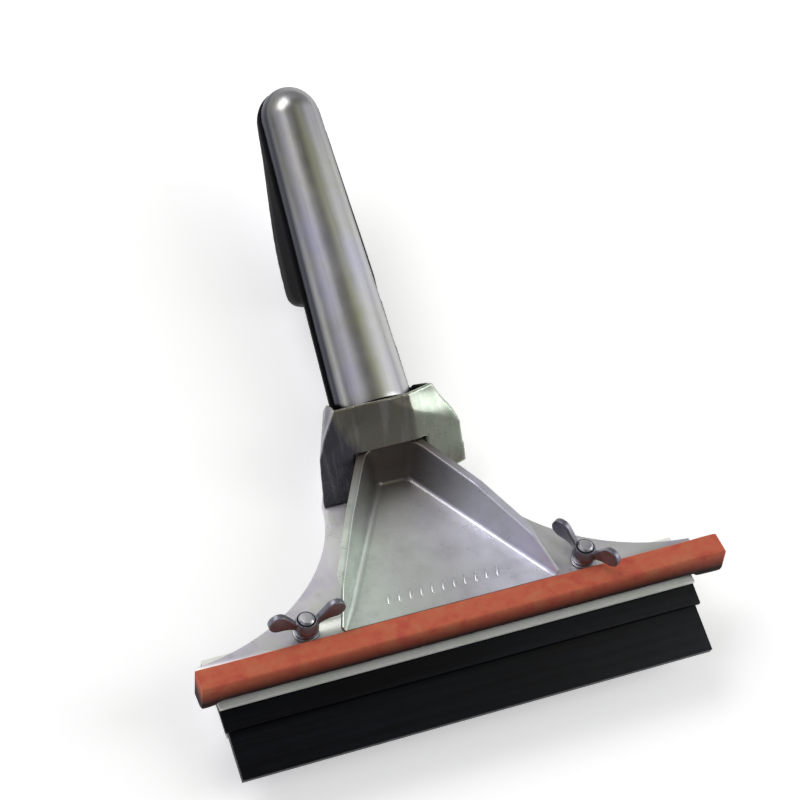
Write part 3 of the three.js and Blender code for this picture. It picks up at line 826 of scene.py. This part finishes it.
def handle_shell():
    """Half-round shell with a domed end: an outer and an inner skin joined along the open edges."""
    body_steps = 60
    dome_steps = 22
    arc_steps = 56
    points = []
    skins = []
    for inset in (0, shell_thick):
        places = [lerp(handle_start, dome_start, step / body_steps) for step in range(body_steps)]
        for step in range(dome_steps + 1):
            quarter = step / dome_steps * math.pi / 2
            places.append(dome_start + (dome_length - inset) * math.sin(quarter))
        skin = []
        for s in places:
            half = half_width(s, inset)
            row = []
            for step in range(arc_steps + 1):
                angle = math.pi * step / arc_steps
                row.append(len(points))
                points.append((half * math.cos(angle), s, half * math.sin(angle)))
            skin.append(row)
        skins.append(skin)
    faces = []
    for skin in skins:
        for row, following in zip(skin, skin[1:]):
            for k in range(arc_steps):
                faces.append((row[k], row[k + 1], following[k + 1], following[k]))
    outer, inner = skins
    for k in range(arc_steps):
        faces.append((outer[0][k], outer[0][k + 1], inner[0][k + 1], inner[0][k]))
    for i in range(len(outer) - 1):
        for k in (0, arc_steps):
            faces.append((outer[i][k], outer[i + 1][k], inner[i + 1][k], inner[i][k]))
    piece = from_points("handle_skin", points, faces, HANDLE)
    round_edges(piece, width=0.4, from_angle=50)
    shade(piece, sharp_angle=60)
    settle(piece, "frame", "handle_shell", POLISHED)


def finger_grooves(point):
    """Shallow cross grooves on the underside of the finger swell."""
    swell_top = -10
    groove_pitch = 5.2
    groove_depth = 0.45
    first_groove = 50
    deepen = (11, 17)  # depths of the swell between which the grooves get their full depth
    begin = (48, 54)  # stretches of the handle along which they begin and end
    end = (108, 116)
    in_handle = (HANDLE.inverted() @ HEAD) @ point
    s = in_handle.y
    depth = in_handle.z
    if depth > swell_top:
        return point
    share = smoothstep(-depth, *deepen) * smoothstep(s, *begin) * (1 - smoothstep(s, *end))
    wave = 0.5 + 0.5 * math.cos(2 * math.pi * (s - first_groove) / groove_pitch)
    lift = groove_depth * share * wave
    return HEAD.inverted() @ HANDLE @ (in_handle + Vector((0, 0, lift)))


handle_shell()
softened(
    "grip",
    "handle_grip",
    "frame",
    PLASTIC,
    voxel=0.55,
    smoothing=6,
    shape=finger_grooves,
)

# ---------------------------------------------------------------- nuts, bolts, washers, screws
side_fasteners = (  # name of the piece, CAD node, body and width of the bevel
    ("coach_bolt", "clamp_bolt", "lower_jaw", 0.3),
    ("plain_washer", "flat_washer", "frame", 0.18),
    ("split_washer", "spring_washer", "frame", 0.18),
    ("rivet", "hood_rivet", "frame", 0.2),
    ("pan_screw", "neck_screw", "frame", 0.2),
)
handle_screws = (  # likewise
    ("underside_screw", "grip_screw", "frame", 0.2),
    ("hidden_screw", "tang_screw", "frame", 0.2),
)


def fasteners(rows, place):
    """Bright fasteners of one side or end of the tool."""
    for name, node, body, width in rows:
        bevelled(f"{name}_{place}", f"{node}_{place}", body, ZINC, width=width)


for side in ("left", "right"):
    softened(
        f"cast_nut_{side}",
        f"wing_nut_{side}",
        f"nut_{side}",
        NUT,
        voxel=0.24,
        smoothing=5,
    )
    fasteners(side_fasteners, side)
for end in ("front", "rear"):
    fasteners(handle_screws, end)

# ---------------------------------------------------------------- inside the hood and the handle
bevelled("wedge", "neck_block", "frame", CAST, width=0.6)
bevelled("flat_tang", "tang", "frame", ZINC, width=0.25)
bevelled("spine", "handle_core", "frame", PLASTIC, width=0.3)


# ---------------------------------------------------------------- floor and light
def floor():
    """White floor with a faint glow near the tool, which falls off to grey farther away."""
    reach = 6.0
    white_to = 0.6
    grey_from = 1.5
    glow = 0.34
    mesh = bpy.data.meshes.new("floor")
    corners = [(-reach, -reach, 0), (reach, -reach, 0), (reach, reach, 0), (-reach, reach, 0)]
    mesh.from_pydata(corners, [], [(0, 1, 2, 3)])
    piece = link("floor", mesh)
    nodes = material_nodes("floor")
    distance = nodes.add("ShaderNodeVectorMath", Vector=nodes.place)
    distance.operation = "LENGTH"
    near = nodes.span(distance.outputs["Value"], 1, 0, white_to, grey_from)
    tone = nodes.ramp(near, [(0.0, (0.5, 0.5, 0.51)), (1.0, (0.94, 0.94, 0.94))])
    material = nodes.finish(tone, 0.8, Emission_Strength=glow)
    nodes.feed(nodes.tree.nodes["Principled BSDF"].inputs["Emission Color"], near)
    mesh.materials.append(material)


def softbox(name, place, target, size, power, color=(1, 1, 1)):
    """Rectangular light at a place, turned to a target, in metres and watts."""
    data = bpy.data.lights.new(name, "AREA")
    data.shape = "RECTANGLE"
    data.size, data.size_y = size
    data.energy = power
    data.color = color
    light = bpy.data.objects.new(name, data)
    bpy.context.scene.collection.objects.link(light)
    light.location = place
    light.rotation_euler = (Vector(target) - Vector(place)).to_track_quat("-Z", "Y").to_euler()


def studio():
    """Room for the steel to mirror: pale behind, dark in front and overhead, with bands of light on
    both sides that run from front to rear."""
    world = bpy.data.worlds.new("studio")
    bpy.context.scene.world = world
    nodes = Nodes(world, "Generated")
    direction = nodes.add("ShaderNodeSeparateXYZ", Vector=nodes.place).outputs
    walls = nodes.ramp(direction["Z"], [
        (0.0, (1.0, 1.0, 1.02)),
        (0.25, (0.95, 0.95, 0.97)),
        (0.5, (0.62, 0.62, 0.63)),
        (0.75, (0.3, 0.3, 0.31)),
        (1.0, (0.16, 0.16, 0.17)),
    ])
    from_front = nodes.span(direction["Y"], 0.26, 0.5, -0.75, 0.5)
    room = nodes.mix(1.0, walls, from_front, "MULTIPLY")
    bands = nodes.ramp(nodes.span(direction["X"], 0, 1, -1, 1), [
        (0.0, (0.12, 0.12, 0.14)),
        (0.03, (0.3, 0.3, 0.34)),
        (0.08, (0.72, 0.7, 0.88)),
        (0.19, (0.68, 0.66, 0.8)),
        (0.28, (0.2, 0.2, 0.21)),
        (0.5, (0.13, 0.125, 0.12)),
        (0.6, (0.3, 0.3, 0.22)),
        (0.68, (0.75, 0.76, 0.52)),
        (0.76, (0.42, 0.43, 0.36)),
        (0.83, (0.55, 0.56, 0.55)),
        (0.9, (1.1, 1.1, 1.15)),
        (0.975, (1.1, 1.1, 1.15)),
        (1.0, (0.3, 0.3, 0.32)),
    ])
    sideways = nodes.add("ShaderNodeMath", Value=direction["Y"])
    sideways.operation = "ABSOLUTE"
    share = nodes.span(sideways.outputs[0], 1, 0, 0.3, 0.55)
    nodes.feed(nodes.tree.nodes["Background"].inputs["Color"], nodes.mix(share, room, bands))


floor()
studio()
softbox(
    "key",
    place=(-0.6, 1.1, 1.25),
    target=(0, -0.02, 0.02),
    size=(1.2, 0.8),
    power=14,
    color=(1.0, 0.99, 0.97),
)
softbox(
    "fill",
    place=(1.1, -0.3, 0.8),
    target=(0, 0, 0.02),
    size=(0.5, 1.2),
    power=5,
    color=(0.97, 0.98, 1.0),
)
softbox("rear", place=(0.1, 1.3, 0.9), target=(0, 0, 0.02), size=(1.4, 0.4), power=0.6)
bpy.context.scene.view_settings.view_transform = "Standard"
